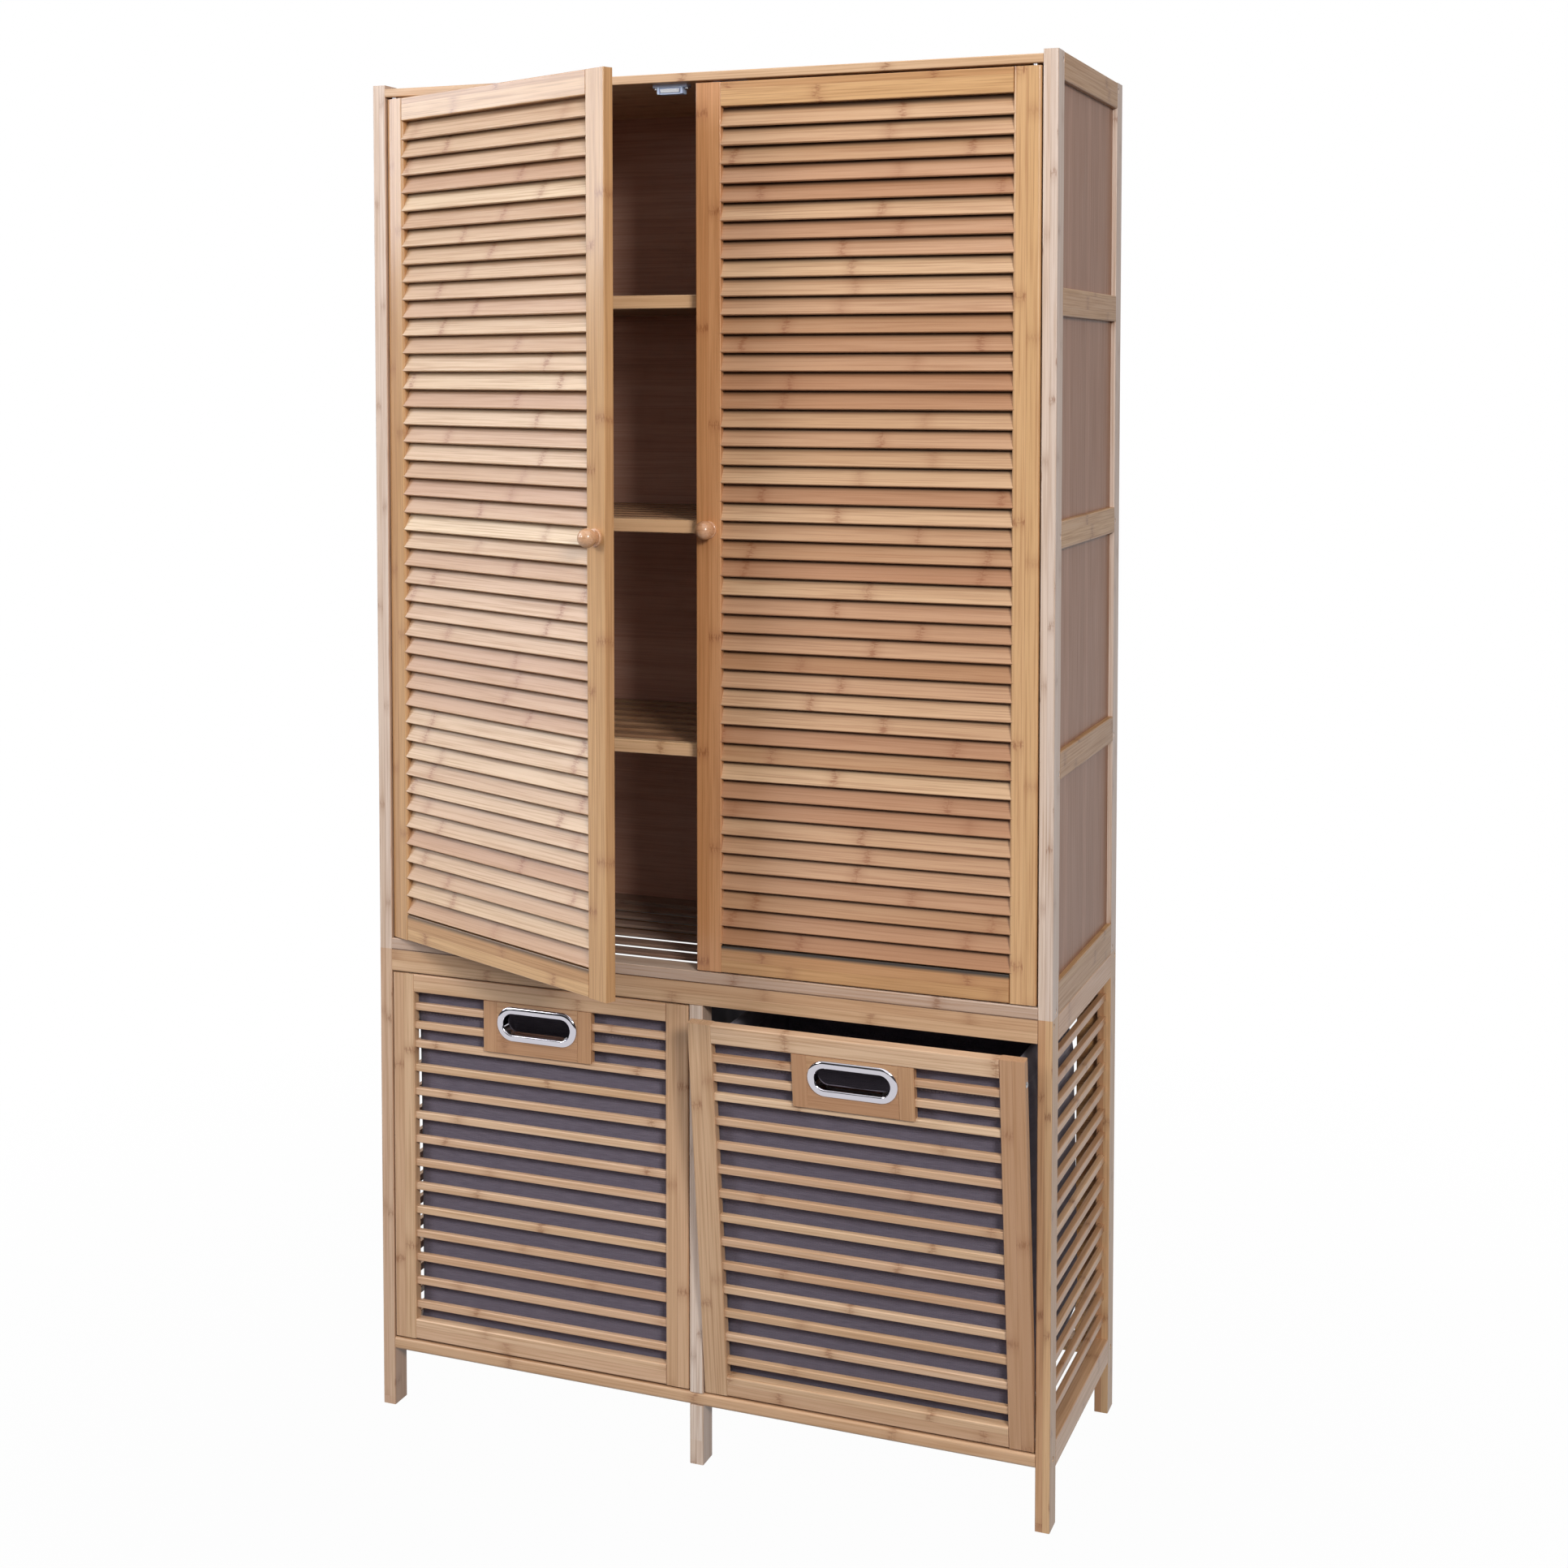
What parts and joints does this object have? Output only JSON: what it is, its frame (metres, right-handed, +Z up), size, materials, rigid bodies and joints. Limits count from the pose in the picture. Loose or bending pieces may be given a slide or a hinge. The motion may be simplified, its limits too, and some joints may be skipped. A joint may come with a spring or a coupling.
{
  "type": "louvred door cabinet",
  "caption": "Tall bamboo laundry cabinet: a hutch with a pair of louvred doors over shelves, on a slatted base with tilt-out hampers and hanging cloth bags.",
  "frame": {"origin": "on the floor, at the centre of the middle front leg's foot, midway along the width", "axes": "+X to the right as seen from the front, +Y from the front to the back, +Z up"},
  "size_m": [0.936, 0.5638, 1.8],
  "materials": {
    "bamboo_frame": "satin",
    "bamboo_front": "satin",
    "bamboo_panel": "satin",
    "bamboo_back": "satin",
    "catch_plastic": "matte",
    "steel": "satin",
    "chrome": "polished",
    "bag_cloth": "matte"
  },
  "bodies": {
    "carcass": {"upper_front_left_post": "bamboo_frame", "upper_front_right_post": "bamboo_frame", "upper_rear_left_post": "bamboo_frame", "upper_rear_right_post": "bamboo_frame", "lower_front_left_leg": "bamboo_frame", "lower_front_right_leg": "bamboo_frame", "lower_rear_left_leg": "bamboo_frame", "lower_rear_right_leg": "bamboo_frame", "upper_left_side_rails": "bamboo_frame", "upper_right_side_rails": "bamboo_frame", "lower_left_side": "bamboo_frame", "lower_right_side": "bamboo_frame", "front_top_rail": "bamboo_frame", "front_bottom_rail": "bamboo_frame", "middle_posts": "bamboo_frame", "middle_legs": "bamboo_frame", "lower_back_frame": "bamboo_frame", "top_board": "bamboo_frame", "top_shelf": "bamboo_frame", "middle_shelf": "bamboo_frame", "low_shelf": "bamboo_frame", "upper_base": "bamboo_frame", "dowels": "bamboo_frame", "upper_left_side_panels": "bamboo_panel", "upper_right_side_panels": "bamboo_panel", "upper_back_panel": "bamboo_back", "door_catches": "catch_plastic", "catch_magnets": "steel", "catch_screws": "steel", "post_bolts": "steel"},
    "left_door": {"left_door_stiles": "bamboo_front", "left_door_rails": "bamboo_front", "left_door_louvres": "bamboo_front", "left_door_knob": "bamboo_front", "left_door_screws": "steel", "left_door_strike_plate": "steel", "left_door_pivot_pins": "steel"},
    "right_door": {"right_door_stiles": "bamboo_front", "right_door_rails": "bamboo_front", "right_door_louvres": "bamboo_front", "right_door_knob": "bamboo_front", "right_door_screws": "steel", "right_door_strike_plate": "steel", "right_door_pivot_pins": "steel"},
    "left_hamper": {"left_hamper_stiles": "bamboo_front", "left_hamper_rails": "bamboo_front", "left_hamper_slats": "bamboo_front", "left_hamper_handle_plate": "bamboo_front", "left_hamper_grommet": "chrome", "left_hamper_bag_wire": "steel", "left_hamper_bag": "bag_cloth", "left_hamper_pivot_pins": "steel"},
    "right_hamper": {"right_hamper_stiles": "bamboo_front", "right_hamper_rails": "bamboo_front", "right_hamper_slats": "bamboo_front", "right_hamper_handle_plate": "bamboo_front", "right_hamper_grommet": "chrome", "right_hamper_bag_wire": "steel", "right_hamper_bag": "bag_cloth", "right_hamper_pivot_pins": "steel"}
  },
  "joints": [
    {"name": "left_door_hinge", "type": "hinge", "parent": "carcass", "child": "left_door", "pos_m": [-0.4388, -0.008, 1.2], "axis": [0, 0, -1], "range_deg": [-24, 81]},
    {"name": "right_door_hinge", "type": "hinge", "parent": "carcass", "child": "right_door", "pos_m": [0.4388, -0.008, 1.2], "axis": [0, 0, 1], "range_deg": [0, 105]},
    {"name": "left_hamper_tilt", "type": "hinge", "parent": "carcass", "child": "left_hamper", "pos_m": [-0.2295, -0.008, 0.112], "axis": [1, 0, 0], "range_deg": [0, 20]},
    {"name": "right_hamper_tilt", "type": "hinge", "parent": "carcass", "child": "right_hamper", "pos_m": [0.2295, -0.008, 0.112], "axis": [1, 0, 0], "range_deg": [-6.5, 13.5]}
  ]
}
